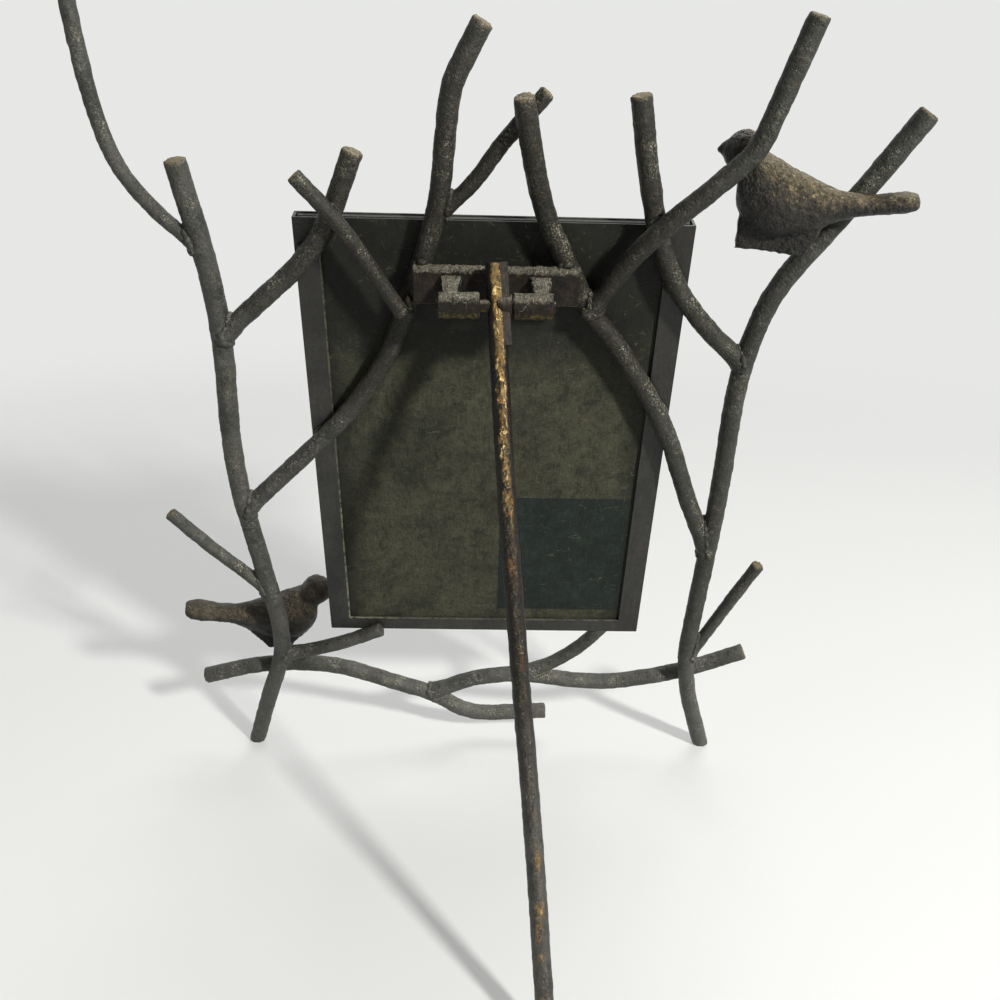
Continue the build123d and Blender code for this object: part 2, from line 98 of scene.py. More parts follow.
class Tree:
    """A node tree with short calls for the nodes used here; noise sizes and bump heights in mm."""

    def __init__(self, name, group=bpy.data.materials, output="OutputMaterial"):
        self.owner = group.new(name)
        self.owner.use_nodes = True
        self.tree = self.owner.node_tree
        self.tree.nodes.clear()
        self.output = self.node(output)
        self.coords = self.node("TexCoord")
        self.colour = None

    def node(self, kind, values=(), **settings):
        """A new node with its inputs and settings."""
        made = self.tree.nodes.new("ShaderNode" + kind)
        for key, value in settings.items():
            setattr(made, key, value)
        for key, value in dict(values).items():
            self.put(made.inputs[key], value)
        return made

    def put(self, socket, value):
        """Links a socket to another one, or sets it to a constant."""
        if isinstance(value, bpy.types.NodeSocket):
            self.tree.links.new(value, socket)
        else:
            socket.default_value = value

    def surface(self, shader):
        """Ends the tree in a shader node's first output."""
        self.put(self.output.inputs["Surface"], shader.outputs[0])
        return self.owner

    # Places

    def place(self, stretch=(1, 1, 1), turn=(0, 0, 0)):
        """The object's coordinates, stretched and turned."""
        mapped = self.node("Mapping", {
            "Vector": self.coords.outputs["Object"], "Scale": stretch, "Rotation": turn,
        })
        return mapped.outputs["Vector"]

    def along(self, axis, source="Object"):
        """One part of a coordinate."""
        split = self.node("SeparateXYZ", {"Vector": self.coords.outputs[source]})
        return split.outputs[axis]

    def measure(self, operation, source, other=None):
        """A number worked out from a coordinate, and a fixed vector where one is given."""
        made = self.node("VectorMath", operation=operation)
        self.put(made.inputs[0], self.coords.outputs[source])
        if other is not None:
            self.put(made.inputs[1], tuple(other))
        return made.outputs["Value"]

    def frame_place(self):
        """Place across the frame from its middle line, and height up the leaning frame."""
        side = self.maths("SUBTRACT", self.along("X"), FRAME_MIDDLE)
        return side, self.measure("DOT_PRODUCT", "Object", FRAME_UP)

    def near_bracket(self):
        """1 close to the hinge bracket, falling to 0 on the way out."""
        return self.ramp(self.measure("DISTANCE", "Object", BRACKET_MIDDLE), BRACKET_SHADE_REACH, BRACKET_SHADE_CORE)

    def toward(self, direction, low, high):
        """1 where the surface's own normal looks along direction, 0 where it looks away."""
        facing = self.measure("DOT_PRODUCT", "Normal", Vector(direction).normalized())
        return self.ramp(facing, low, high)

    def layer(self, name):
        """A number that the mesh holds at each of its points."""
        return self.node("Attribute", attribute_name=name).outputs["Fac"]

    # Patterns

    def noise(self, size, detail=4, rough=0.55, distort=0.0, where=None):
        """Noise whose lumps are about size across."""
        made = self.node("TexNoise", {
            "Vector": where or self.coords.outputs["Object"], "Scale": 1 / (size * MM),
            "Detail": detail, "Roughness": rough, "Distortion": distort,
        })
        return made.outputs["Fac"]

    def cells(self, size, feature="F1", where=None):
        """Distance to the nearest of points about size apart."""
        made = self.node("TexVoronoi", {
            "Vector": where or self.coords.outputs["Object"], "Scale": 1 / (size * MM),
        }, feature=feature)
        return made.outputs["Distance"]

    def ramp(self, factor, low, high):
        """Factor from 0 at low to 1 at high; low above high turns it round."""
        made = self.node("MapRange", {
            "Value": factor, "From Min": low, "From Max": high,
        }, interpolation_type="SMOOTHSTEP")
        return made.outputs["Result"]

    def patches(self, size, low, high, *settings):
        """Patches where a noise of that size is above low, solid from high on."""
        return self.ramp(self.noise(size, *settings), low, high)

    def cracks(self, size, width, stretch, turn):
        """Thin lines between cells of that size."""
        edge = self.cells(size, "DISTANCE_TO_EDGE", self.place(stretch, turn))
        return self.ramp(edge, width, 0.0)

    # Sums

    def maths(self, operation, first, second=0.0):
        """A number worked out from one or two others."""
        made = self.node("Math", operation=operation)
        self.put(made.inputs[0], first)
        self.put(made.inputs[1], second)
        return made.outputs[0]

    def times(self, first, *others):
        """The product of several numbers."""
        for other in others:
            first = self.maths("MULTIPLY", first, other)
        return first

    def most(self, first, *others):
        """The greatest of several numbers."""
        for other in others:
            first = self.maths("MAXIMUM", first, other)
        return first

    def near(self, value, edge, low, high):
        """1 where a value is close to an edge, 0 where it is far off."""
        return self.ramp(self.maths("ABSOLUTE", self.maths("SUBTRACT", value, edge)), low, high)

    def spread(self, factor, reach, least):
        """From least upwards, by reach times a factor."""
        made = self.maths("MULTIPLY_ADD", factor, reach)
        made.node.inputs[2].default_value = least
        return made

    # Looks

    def mix(self, factor, first, second):
        """The first colour, turning into the second as factor grows."""
        made = self.node("Mix", data_type="RGBA")
        for socket in made.inputs:
            if socket.identifier == "Factor_Float":
                self.put(socket, factor)
            elif socket.identifier == "A_Color":
                self.put(socket, first)
            elif socket.identifier == "B_Color":
                self.put(socket, second)
        return next(s for s in made.outputs if s.identifier == "Result_Color")

    def ground(self, factor, first, second):
        """The colour under all coats."""
        self.colour = self.mix(factor, first, second)

    def coat(self, tint, *shares):
        """Lays a tint over the colour, as thick as the product of the shares."""
        self.colour = self.mix(self.times(*shares), self.colour, tint)

    def bump(self, height, distance, under=None):
        """A normal that leans with the height, over the one under it."""
        made = self.node("Bump", {"Height": height, "Distance": distance * MM, "Strength": 1.0})
        if under is not None:
            self.put(made.inputs["Normal"], under)
        return made.outputs["Normal"]

    def pits(self, size, depth):
        """Small dents about size apart."""
        return self.bump(self.ramp(self.cells(size), 0.0, 0.5), depth)

    def shader(self, rough, normal, metal=0.0, others=()):
        """Ends the tree in a surface of its colour."""
        return self.surface(self.node("BsdfPrincipled", {
            "Base Color": self.colour, "Roughness": rough, "Metallic": metal, "Normal": normal,
            **dict(others),
        }))


# ---------------------------------------------------------------- materials

# Reach and core of the painted shade round the hinge bracket
BRACKET_SHADE_REACH = 112 * MM
BRACKET_SHADE_CORE = 36 * MM
# Dark tone for sooty pits and pebbles, also laid as painted shade over the frame's upper part
SOOT_AND_SHADE = srgb(30, 28, 25)
RUST = srgb(92, 60, 40)
MOSS = srgb(104, 98, 66)


def top_along_frame(name):
    """How far up the leaning frame a CAD node reaches."""
    return max(vertex.co.dot(FRAME_UP) for vertex in NODES[name].data.vertices)


def side_reach(name):
    """The least and greatest X of a CAD node."""
    values = [vertex.co.x for vertex in NODES[name].data.vertices]
    return min(values), max(values)


LEFT_LIP = side_reach("frame_left_rail")
RIGHT_LIP = side_reach("frame_right_rail")
FRAME_MIDDLE = (LEFT_LIP[1] + RIGHT_LIP[0]) / 2
SIDE_EDGE = LEFT_LIP[0] - FRAME_MIDDLE
SILL_EDGE = top_along_frame("frame_bottom_rail")
PANEL_TOP = top_along_frame("back_panel")
PLATE_TOP = top_along_frame("hinge_plate")
BRACKET_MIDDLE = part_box("hinge_plate")
BRACKET_MIDDLE = (Vector(BRACKET_MIDDLE[0]) + Vector(BRACKET_MIDDLE[1])) / 2


def rod_iron():
    """Hammered grey-green iron: sooty pits, rubbed lumps, pale flecks and a little rust. Painted
    shade darkens it towards −X and near the hinge bracket, painted light lightens it towards the
    floor, and its pale scratches keep to faces toward the key lamp as partly painted highlight.
    """
    t = Tree("dark_iron_look")
    mottle = t.noise(1.5, 5, 0.7)
    t.ground(t.patches(9, 0.34, 0.60, 5, 0.6), srgb(62, 63, 59), srgb(82, 82, 77))
    height = t.along("Z")
    # Painted shade: towards the −X side and from 50 mm up, the rods are made darker.
    side = t.maths("ADD", t.ramp(t.along("X"), 60 * MM, -80 * MM), t.noise(45, 3, 0.5))
    t.coat(srgb(50, 51, 45), t.ramp(side, 0.55, 1.35), 0.7, t.ramp(height, 50 * MM, 110 * MM))
    # Painted light: the rods lighten towards the floor, standing in for light bounced up from it.
    t.coat(srgb(104, 105, 99), t.ramp(height, 60 * MM, 5 * MM), 0.6)
    t.coat(SOOT_AND_SHADE, t.ramp(mottle, 0.48, 0.34), 0.5)
    raised = t.ramp(t.layer("relief"), 0.50, 0.85)
    t.coat(srgb(106, 105, 98), raised, t.ramp(mottle, 0.42, 0.60), 0.7)
    t.coat(RUST, t.patches(2.4, 0.52, 0.66, 6, 0.72), 0.35, t.patches(17, 0.52, 0.66, 3, 0.5))
    t.coat(MOSS, t.patches(1.7, 0.56, 0.66, 6, 0.75), 0.45, t.patches(21, 0.50, 0.64, 3, 0.5))
    # Painted shade: the rods darken close to the hinge bracket; tan flecks are laid over the same
    # place.
    shade_near_bracket = t.near_bracket()
    t.coat(srgb(24, 24, 20), shade_near_bracket, 0.85)
    t.coat(srgb(112, 92, 58), shade_near_bracket, t.patches(1.0, 0.54, 0.66, 5, 0.75, 1.2), 0.6)
    rubbed = t.most(t.patches(11, 0.46, 0.60, 3, 0.5), 0.15)
    # The pale scratches keep to faces toward the key lamp: partly real scratches, partly painted
    # highlight.
    lit = t.most(t.toward((-0.2, 0.7, 0.7), 0.25, 0.85), 0.25)
    scratches = t.times(t.patches(1.1, 0.54, 0.61, 4, 0.7, 1.8), rubbed, lit)
    t.coat(srgb(170, 166, 144), scratches, 0.95)
    t.coat(srgb(138, 122, 86), t.layer("cut"), 0.75, t.ramp(mottle, 0.34, 0.58))
    normal = t.bump(mottle, 0.4, t.bump(t.noise(0.55, 4, 0.65), 0.16, t.pits(1.2, 0.14)))
    return t.shader(t.spread(mottle, 0.35, 0.38), normal, 0.25, {"Specular IOR Level": 0.35})


def frame_steel():
    """Dark steel with a pebbled skin, dust on its upper edges, a pale inner edge on the left and at
    the sill that is partly wear and partly painted highlight, and painted shade over its upper
    part.
    """
    t = Tree("frame_steel_look")
    clouds = t.noise(16, 5, 0.6)
    pebbles = t.noise(1.1, 4, 0.6)
    fine = t.noise(0.5, 3, 0.6)
    t.ground(t.ramp(clouds, 0.35, 0.65), srgb(38, 38, 36), srgb(54, 54, 51))
    streaks = t.patches(1.3, 0.45, 0.75, 4, 0.6, 0.0, t.place((1, 0.2, 0.2)))
    t.coat(srgb(74, 71, 63), streaks, 0.4)
    t.coat(SOOT_AND_SHADE, t.ramp(pebbles, 0.50, 0.34), 0.5)
    t.coat(RUST, t.patches(1.8, 0.54, 0.66, 6, 0.72), 0.55, t.patches(23, 0.50, 0.64, 3, 0.5))
    scratches = t.times(t.patches(0.9, 0.64, 0.72, 5, 0.75, 1.4), t.ramp(clouds, 0.46, 0.58))
    t.coat(srgb(108, 104, 90), scratches, 0.45)
    side, rise = t.frame_place()
    # A pale line along the inner edge of the left lip and the sill, fading up the left side: partly
    # wear, partly painted highlight where the light falls on the lip.
    by_side = t.times(
        t.near(side, SIDE_EDGE, 0.75 * MM, 0.35 * MM),
        t.ramp(rise, SILL_EDGE - 1 * MM, SILL_EDGE),
        t.most(0.3, t.ramp(rise, SILL_EDGE + 84 * MM, SILL_EDGE + 50 * MM)),
    )
    by_sill = t.times(
        t.near(rise, SILL_EDGE, 0.6 * MM, 0.25 * MM),
        t.ramp(t.maths("ABSOLUTE", side), SIDE_EDGE + 1 * MM, SIDE_EDGE),
        t.most(0.4, t.ramp(side, SIDE_EDGE - 30 * MM, SIDE_EDGE - 10 * MM)),
    )
    worn_and_lit_edge = t.times(t.most(by_side, by_sill), t.patches(3, 0.42, 0.56, 6, 0.75), 0.9)
    # Painted shade: the frame darkens over its upper part.
    t.coat(SOOT_AND_SHADE, t.ramp(rise, SILL_EDGE + 95 * MM, SILL_EDGE + 145 * MM), 0.5)
    t.coat(srgb(146, 146, 118), worn_and_lit_edge)
    t.coat(srgb(76, 75, 69), t.toward(FRAME_UP, 0.55, 0.95), t.ramp(fine, 0.30, 0.55), 0.9)
    normal = t.bump(pebbles, 0.16, t.bump(fine, 0.06, t.bump(clouds, 0.3)))
    return t.shader(t.spread(pebbles, 0.3, 0.36), normal, 0.3)


def panel_face(name, low, high, shade, green, rim_shade):
    """An old painted sheet: cloudy blotches, a faint weave, pale scratches, and painted shade
    across its top and beside its side lips.
    """
    t = Tree(name)
    weave = t.noise(0.55, 3, 0.6, where=t.place((1, 0.12, 0.12)))
    threads = t.noise(0.6, 3, 0.6, where=t.place((0.22, 1, 1)))
    blotch = t.noise(17, 6, 0.62, 0.5)
    patch = t.noise(6, 5, 0.65, 0.6)
    mottle = t.noise(2.1, 5, 0.7)
    grain = t.noise(0.9, 4, 0.7)
    t.ground(t.ramp(blotch, 0.34, 0.66), low, high)
    t.coat(shade, t.ramp(patch, 0.50, 0.34), 0.55)
    t.coat(green, t.ramp(patch, 0.52, 0.68), 0.5)
    t.coat(green, t.ramp(weave, 0.45, 0.75), 0.3)
    t.coat(shade, t.ramp(weave, 0.52, 0.28), 0.25)
    t.coat(shade, t.ramp(grain, 0.50, 0.36), 0.45)
    t.coat(green, t.ramp(grain, 0.56, 0.68), 0.5)
    t.coat(shade, t.ramp(mottle, 0.50, 0.36), 0.3)
    side, rise = t.frame_place()
    # Painted shade: the sheet darkens across its top and next to the side lips, with large dark
    # blotches.
    rim = t.most(
        t.ramp(rise, PANEL_TOP - 66 * MM, PANEL_TOP - 34 * MM),
        t.times(t.ramp(t.maths("ABSOLUTE", side), SIDE_EDGE - 10 * MM, SIDE_EDGE), 0.8),
    )
    rim = t.most(t.times(rim, 0.9), t.times(t.patches(30, 0.5, 0.72, 3, 0.5), 0.5))
    t.coat(shade, rim, rim_shade, t.ramp(blotch, 0.15, 0.45))
    strokes = t.patches(1.5, 0.58, 0.68, 5, 0.75, 0.9, t.place((0.35, 1, 1), (0, 0.2, 0)))
    t.coat(srgb(112, 113, 94), strokes, t.patches(15, 0.46, 0.60, 4, 0.6), 0.5)
    scratches = t.most(
        t.times(t.cracks(31, 0.004, (2.3, 0.6, 0.6), (0, 0.55, 0)), t.ramp(mottle, 0.50, 0.6)),
        t.times(t.cracks(44, 0.003, (0.5, 1.9, 1.9), (0, -0.3, 0)), t.ramp(mottle, 0.52, 0.62)),
    )
    t.coat(srgb(140, 134, 108), scratches, 0.4)
    t.coat(srgb(60, 59, 53), t.toward(FRAME_UP, 0.7, 0.95), t.ramp(mottle, 0.30, 0.55))
    normal = t.bump(weave, 0.08, t.bump(threads, 0.05, t.bump(blotch, 0.5)))
    return t.shader(t.spread(mottle, 0.3, 0.46), normal, 0.0, {"Specular IOR Level": 0.22})


def bird_bronze():
    """Rough cast bronze: brown-grey and dark in its pits, with tan and pale flecks on the faces
    toward the key lamp and on top, partly rubbed bronze and partly painted highlight, and painted
    shade on the faces turned down and away.
    """
    t = Tree("bird_bronze_look")
    mottle = t.noise(3.2, 5, 0.65)
    grit = t.noise(0.8, 4, 0.65)
    t.ground(t.patches(12, 0.34, 0.62, 5, 0.55), srgb(36, 35, 32), srgb(54, 50, 42))
    t.coat(srgb(30, 29, 26), t.ramp(mottle, 0.50, 0.36), 0.4)
    # Painted highlight: tan on the faces toward the key lamp, stronger higher up, is partly rubbed
    # bronze and partly painted highlight; the raised lumps lighten most there.
    highlight_by_height = t.most(t.ramp(t.along("Z"), 120 * MM, 200 * MM), 0.3)
    upper = t.times(t.toward((-0.7, 0.45, 0.55), 0.20, 0.85), highlight_by_height)
    rubbed = t.mix(t.patches(6, 0.40, 0.60, 5, 0.65), srgb(84, 80, 60), srgb(132, 112, 86))
    crust = t.most(t.ramp(grit, 0.40, 0.58), 0.3)
    t.coat(rubbed, upper, 0.85, t.ramp(mottle, 0.34, 0.56), crust)
    raised = t.ramp(t.layer("relief"), 0.52, 0.80)
    raised = t.times(raised, t.ramp(grit, 0.42, 0.60), t.most(upper, 0.3))
    t.coat(srgb(104, 93, 71), raised, 0.55)
    # Painted highlight: tan on the upward faces, stronger higher up.
    top_highlight = t.times(t.toward((-0.35, 0.35, 0.87), 0.55, 0.95), highlight_by_height)
    t.coat(srgb(122, 112, 84), top_highlight, 0.45, t.ramp(grit, 0.36, 0.56))
    # Pale flecks on the faces toward the key lamp and on top: partly real flecks, partly painted
    # glints.
    flecks_and_glints = t.times(t.patches(1.6, 0.55, 0.64, 4, 0.7, 1.6), t.most(upper, top_highlight))
    t.coat(srgb(176, 158, 120), flecks_and_glints, 0.85)
    t.coat(srgb(88, 66, 50), t.patches(11, 0.54, 0.70, 4, 0.6), t.ramp(grit, 0.40, 0.60), 0.45)
    # Painted shade: faces turned down and away from the key lamp are darkened.
    t.coat(srgb(26, 26, 24), t.toward((0.45, 0.1, -0.85), -0.15, 0.6), 0.8)
    normal = t.bump(mottle, 1.3, t.bump(grit, 0.3, t.pits(1.9, 0.25)))
    return t.shader(t.spread(mottle, 0.35, 0.26), normal, 0.35, {"Specular IOR Level": 0.45})


def leg_iron():
    """The leg: dark iron, flecked with ochre, gold and rust along the band that faces the camera
    and the key lamp, partly real patina and partly painted sheen, with painted glints higher up.
    """
    t = Tree("leg_iron_look")
    clouds = t.patches(8, 0.36, 0.62, 5, 0.65)
    mottle = t.noise(1.5, 6, 0.72)
    grit = t.noise(0.6, 4, 0.65)
    height = t.along("Z")
    upper_base = t.mix(clouds, srgb(20, 18, 14), srgb(34, 31, 25))
    lower_base = t.mix(clouds, srgb(64, 63, 60), srgb(80, 79, 75))
    t.ground(t.ramp(height, 125 * MM, 50 * MM), upper_base, lower_base)
    t.coat(SOOT_AND_SHADE, t.ramp(mottle, 0.48, 0.34), 0.5)
    # Painted sheen: the flecked band runs along the faces toward the camera and the key lamp; its
    # ochre, rust and grey flecks are partly real patina and partly painted sheen.
    back = t.measure("DOT_PRODUCT", "Normal", Vector((-0.10, 0.93, 0.36)).normalized())
    wander = t.spread(t.noise(14, 3, 0.5), 0.5, -0.25)
    sheen_ridge = t.ramp(t.maths("ADD", back, wander), 0.78, 0.98)
    islands = t.times(t.patches(13, 0.52, 0.60, 3, 0.5), t.ramp(height, 95 * MM, 65 * MM))
    between = t.times(t.most(t.ramp(height, 110 * MM, 150 * MM), 0.4), 0.3)
    cover = t.most(t.ramp(height, 135 * MM, 175 * MM), t.most(islands, between))
    cover = t.times(sheen_ridge, cover)
    long_way = t.place((1, 1, 0.42))
    ochre = t.times(cover, t.patches(2.4, 0.45, 0.58, 6, 0.72, 1.2, long_way))
    t.coat(srgb(124, 96, 48), ochre, 0.85)
    t.coat(srgb(158, 92, 42), cover, t.patches(4.6, 0.56, 0.64, 5, 0.65, 0.0, long_way), 0.85)
    # Gold at the top of the band: partly gilt wear, partly painted highlight.
    gilt_and_highlight = t.times(sheen_ridge, t.ramp(height, 195 * MM, 215 * MM))
    t.coat(srgb(150, 122, 68), gilt_and_highlight, t.ramp(mottle, 0.38, 0.56), 0.6)
    shiny = t.most(t.ramp(height, 150 * MM, 185 * MM), 0.3)
    # Painted glints: near-white gold flecks on the band, stronger higher up.
    flecks_and_glints = t.times(cover, t.patches(1.9, 0.54, 0.62, 6, 0.75, 1.4, long_way), shiny)
    t.coat(srgb(250, 220, 150), flecks_and_glints, 0.95)
    t.coat(srgb(98, 94, 52), t.patches(2.6, 0.56, 0.66, 5, 0.7), cover, 0.7)
    t.coat(srgb(148, 148, 136), sheen_ridge, t.patches(1.1, 0.60, 0.66, 4, 0.7, 1.8), 0.7)
    normal = t.bump(mottle, 0.5, t.bump(grit, 0.18, t.pits(1.3, 0.2)))
    return t.shader(t.spread(grit, 0.3, 0.28), normal, 0.5)


def tab_steel():
    """Dark strip, brushed along its length and a little rusty at its edges."""
    t = Tree("tab_steel_look")
    brushed = t.noise(0.8, 4, 0.6, where=t.place((1, 1, 0.1)))
    mottle = t.noise(3, 5, 0.65)
    t.ground(t.ramp(brushed, 0.35, 0.7), srgb(40, 37, 32), srgb(60, 56, 50))
    t.coat(RUST, t.ramp(mottle, 0.54, 0.66), 0.5)
    t.coat(SOOT_AND_SHADE, t.ramp(mottle, 0.44, 0.32), 0.6)
    normal = t.bump(brushed, 0.06, t.bump(mottle, 0.12))
    return t.shader(t.spread(mottle, 0.3, 0.35), normal, 0.45)


def bracket_iron():
    """Hinge parts: dark brown, rust and yellow-green, with grey dust lying on top."""
    t = Tree("bracket_iron_look")
    clouds = t.noise(5, 5, 0.65)
    mottle = t.noise(1.3, 6, 0.7)
    grit = t.noise(0.5, 4, 0.65)
    t.ground(t.ramp(clouds, 0.36, 0.64), srgb(15, 13, 10), srgb(30, 26, 19))
    t.coat(srgb(58, 39, 25), t.patches(2.6, 0.52, 0.64, 6, 0.7), 0.6)
    moss = t.times(t.patches(0.5, 0.56, 0.66, 5, 0.8, 0.8), t.ramp(clouds, 0.40, 0.60))
    t.coat(srgb(112, 88, 52), moss, 0.5)
    below = t.times(t.toward((0, 0.6, -0.8), 0.86, 0.99), t.ramp(mottle, 0.44, 0.58))
    t.coat(srgb(128, 116, 62), below, 0.6)
    rise = t.measure("DOT_PRODUCT", "Object", FRAME_UP)
    wavy = t.maths("ADD", rise, t.times(t.ramp(mottle, 0.35, 0.65), 1 * MM))
    rim = t.times(t.ramp(wavy, PLATE_TOP - 1.2 * MM, PLATE_TOP - 0.4 * MM), 0.8)
    upper = t.most(t.toward((0, 0.2, 1), 0.45, 0.92), rim)
    film = t.patches(1.2, 0.38, 0.56, 6, 0.8, 0.8, t.place((1, 0.5, 0.5)))
    t.coat(srgb(108, 104, 90), upper, 0.9, film)
    threads = t.patches(0.6, 0.54, 0.62, 4, 0.75, 1.8, t.place((1, 0.4, 0.4)))
    t.coat(srgb(186, 181, 162), upper, threads, 0.85)
    normal = t.bump(grit, 0.25, t.bump(mottle, 0.4))
    return t.shader(t.spread(grit, 0.3, 0.5), normal, 0.0, {"Specular IOR Level": 0.25})


def clear_glass():
    """Clear pane with a thin film of dust on its faces and a dark, frosted top edge."""
    t = Tree("clear_glass_look")
    smear = t.noise(24, 5, 0.6, 0.6, t.place((0.4, 1, 1), (0, 0.5, 0)))
    edge = t.toward(FRAME_UP, 0.6, 0.95)
    t.ground(edge, srgb(246, 250, 248), srgb(58, 58, 53))
    clear = t.maths("SUBTRACT", 1.0, t.times(edge, 0.95))
    rough = t.most(t.times(t.ramp(smear, 0.4, 0.75), 0.12), t.times(edge, 0.7))
    return t.shader(rough, t.bump(smear, 0.02), 0.0, {"Transmission Weight": clear, "IOR": 1.48})


def blank_card():
    """Off-white card with a faint fibre, slightly aged, and dark along its top edge."""
    t = Tree("blank_card_look")
    fibre = t.noise(0.9, 5, 0.7)
    t.ground(t.patches(28, 0.25, 0.8, 4, 0.5), srgb(226, 221, 208), srgb(220, 213, 198))
    t.coat(srgb(204, 196, 178), t.ramp(fibre, 0.5, 0.7), 0.3)
    t.coat(srgb(66, 64, 56), t.toward(FRAME_UP, 0.6, 0.95), 0.96)
    return t.shader(0.72, t.bump(fibre, 0.03))


def lint_fibre():
    """Grey-white threads of dust."""
    t = Tree("lint_fibre_look")
    tone = t.noise(1.3, 3, 0.6)
    t.ground(t.ramp(tone, 0.35, 0.65), srgb(128, 122, 106), srgb(186, 180, 164))
    return t.shader(0.9, t.bump(tone, 0.02), 0.0, {"Sheen Weight": 0.3})


LOOKS = {
    "dark_iron": rod_iron(),
    "frame_steel": frame_steel(),
    "bracket_iron": bracket_iron(),
    "bird_bronze": bird_bronze(),
    "leg_iron": leg_iron(),
    "tab_steel": tab_steel(),
    "clear_glass": clear_glass(),
    "blank_card": blank_card(),
    "panel_patina": panel_face(
        "panel_patina_look", srgb(58, 59, 48), srgb(75, 75, 60), srgb(19, 21, 18), srgb(93, 93, 74),
        rim_shade=1.0,
    ),
    "label_patch": panel_face(
        "label_patch_look", srgb(25, 33, 30), srgb(33, 41, 37), srgb(14, 20, 19), srgb(52, 61, 55),
        rim_shade=0.4,
    ),
}
LINT_LOOK = lint_fibre()

# ---------------------------------------------------------------- mesh helpers

POINT_MERGE = 0.002 * MM
CRUMB_FACES = 60
SAME_WAY = 0.9999
END_RADIUS = 4.5 * MM
END_REACH = 5 * MM
END_DEPTH = 0.7 * MM
ROUND_FILL = 0.75
RELIEF_LUMPS = 0.6
RELIEF_PITS = 0.7


def add_piece(name, shape):
    """A new object in the scene with the shape that a bmesh holds."""
    mesh = bpy.data.meshes.new(name)
    shape.to_mesh(mesh)
    shape.free()
    piece = bpy.data.objects.new(name, mesh)
    bpy.context.scene.collection.objects.link(piece)
    return piece


def node_shape(name):
    """A bmesh of a CAD node, with equal points merged."""
    shape = bmesh.new()
    shape.from_mesh(NODES[name].data)
    bmesh.ops.remove_doubles(shape, verts=shape.verts, dist=POINT_MERGE)
    return shape


def solid_copy(name):
    """A new object with the shape of a CAD node."""
    return add_piece(name + "_skin", node_shape(name))


def apply_modifiers(piece):
    """Puts the result of the piece's modifiers into its mesh."""
    graph = bpy.context.evaluated_depsgraph_get()
    graph.update()
    mesh = bpy.data.meshes.new_from_object(piece.evaluated_get(graph))
    piece.modifiers.clear()
    old = piece.data
    piece.data = mesh
    bpy.data.meshes.remove(old)


def islands(faces, beside):
    """Groups of faces that hang together; beside(face, first) gives a face's neighbours."""
    seen = set()
    groups = []
    for first in faces:
        if first in seen:
            continue
        seen.add(first)
        group = [first]
        for face in group:
            for other in beside(face, first):
                if other not in seen:
                    seen.add(other)
                    group.append(other)
        groups.append(group)
    return groups


def touching(face, _):
    """The faces that share a corner with a face."""
    return (other for corner in face.verts for other in corner.link_faces)


def level_with(face, first):
    """The faces that share an edge with a face and look the same way as the first one."""
    beside = (other for edge in face.edges for other in edge.link_faces)
    return (other for other in beside if other.normal.dot(first.normal) > SAME_WAY)


def drop_crumbs(piece):
    """Deletes the loose specks of a few faces that a remesh can leave inside a skin."""
    mesh = bmesh.new()
    mesh.from_mesh(piece.data)
    crumbs = []
    for group in islands(mesh.faces, touching):
        if len(group) < CRUMB_FACES:
            crumbs.extend(group)
    bmesh.ops.delete(mesh, geom=crumbs, context="FACES")
    mesh.to_mesh(piece.data)
    mesh.free()


def remesh(piece, voxel, smooth=0):
    """Closes the piece into one even skin."""
    made = piece.modifiers.new("skin", "REMESH")
    made.mode = "VOXEL"
    made.voxel_size = voxel
    if smooth:
        soften = piece.modifiers.new("soften", "SMOOTH")
        soften.factor = 0.5
        soften.iterations = smooth
    apply_modifiers(piece)
    drop_crumbs(piece)


def hammer(piece, seed, lumps, pits, inward, lump_size, pit_size):
    """Moves each point along its normal by two sizes of noise, and keeps how high it went."""
    mesh = piece.data
    offset = Vector((seed, 2 * seed, 3 * seed))
    relief = mesh.attributes.new("relief", "FLOAT", "POINT")
    heights = []
    moved = []
    for vertex in mesh.vertices:
        place = vertex.co + offset * MM
        low = noise.noise(place / lump_size)
        high = noise.noise(place / pit_size)
        heights.append(0.5 + 0.5 * (RELIEF_LUMPS * low + RELIEF_PITS * high))
        moved.append(vertex.co + vertex.normal * (lumps * low + pits * high - inward))
    for vertex, point in zip(mesh.vertices, moved):
        vertex.co = [min(max(value, low), high) for value, low, high in zip(point, LOW, HIGH)]
    relief.data.foreach_set("value", heights)
    mesh.update()


def flat_ends(name):
    """(centre, direction) of each small round flat face of a CAD node: a rod's cut ends."""
    source = node_shape(name)
    ends = []
    for group in islands(source.faces, level_with):
        area = sum(face.calc_area() for face in group)
        weighed = (face.calc_center_median() * face.calc_area() for face in group)
        centre = sum(weighed, Vector()) / area
        reach = max((corner.co - centre).length for face in group for corner in face.verts)
        if reach < END_RADIUS and area > ROUND_FILL * math.pi * reach * reach:
            ends.append((centre, group[0].normal.copy()))
    source.free()
    return ends


def mark_cut(piece, ends):
    """Marks the points of a skin that lie on a cut end."""
    mesh = piece.data
    cut = mesh.attributes.new("cut", "FLOAT", "POINT")
    values = [0.0] * len(mesh.vertices)
    for centre, direction in ends:
        for vertex in mesh.vertices:
            away = vertex.co - centre
            if away.length < END_REACH and abs(away.dot(direction)) < END_DEPTH:
                values[vertex.index] = max(values[vertex.index], vertex.normal.dot(direction))
    cut.data.foreach_set("value", [max(0.0, value) for value in values])


def dress(piece, body, slot, *nodes, look=None):
    """Gives a finished piece its material and its body, and hides the nodes it stands for."""
    piece.data.materials.clear()
    piece.data.materials.append(look or LOOKS[slot])
    if nodes:
        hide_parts(*nodes)
    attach(piece, body)


def shade_smooth(piece):
    """Lets the light run evenly over a piece's faces."""
    for face in piece.data.polygons:
        face.use_smooth = True


